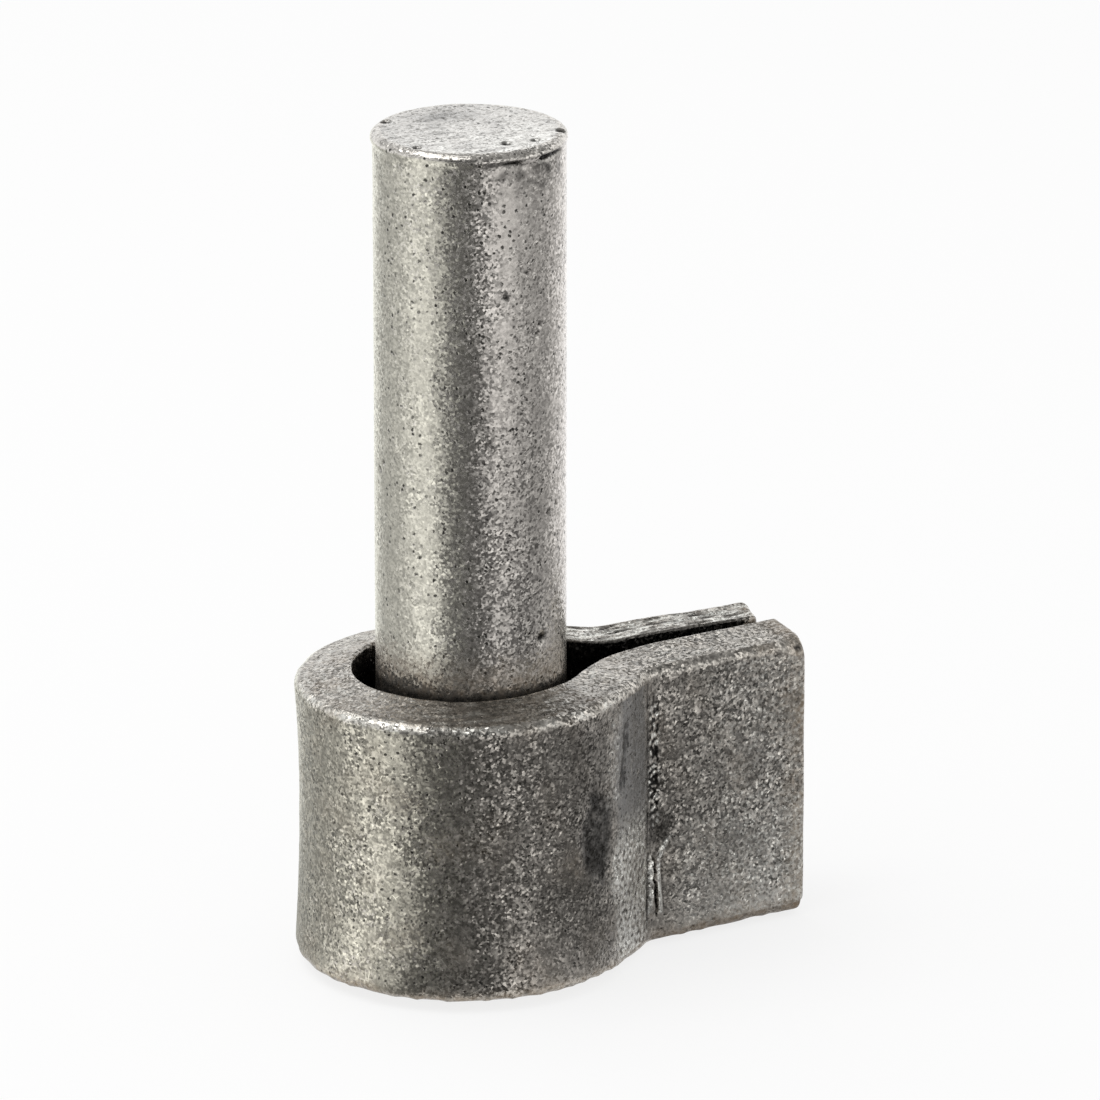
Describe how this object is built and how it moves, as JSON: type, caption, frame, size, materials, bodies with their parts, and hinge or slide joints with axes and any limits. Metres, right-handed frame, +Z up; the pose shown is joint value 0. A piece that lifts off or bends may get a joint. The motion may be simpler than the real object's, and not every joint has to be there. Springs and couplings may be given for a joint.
{
  "type": "gate hinge pin",
  "caption": "Weld-on gate hinge pin: a plain round pin stands in a keyhole loop bent from flat bar, whose closed ends form a tail for welding to a post.",
  "frame": {"origin": "on the pin's axis, level with the top of the strap's loop, where the gate's eye rests", "axes": "+Z up along the pin; +X from the pin along the tail; +Y to the rear strap end"},
  "size_m": [0.0441, 0.0284, 0.0722],
  "materials": {
    "pin_steel": "raw, lightly pitted",
    "strap_steel": "raw, grainy",
    "weld_steel": "raw, heat tinted"
  },
  "bodies": {
    "root": {"hinge_pin": "pin_steel", "wrap_strap": "strap_steel", "foot_weld": "weld_steel"}
  },
  "joints": []
}
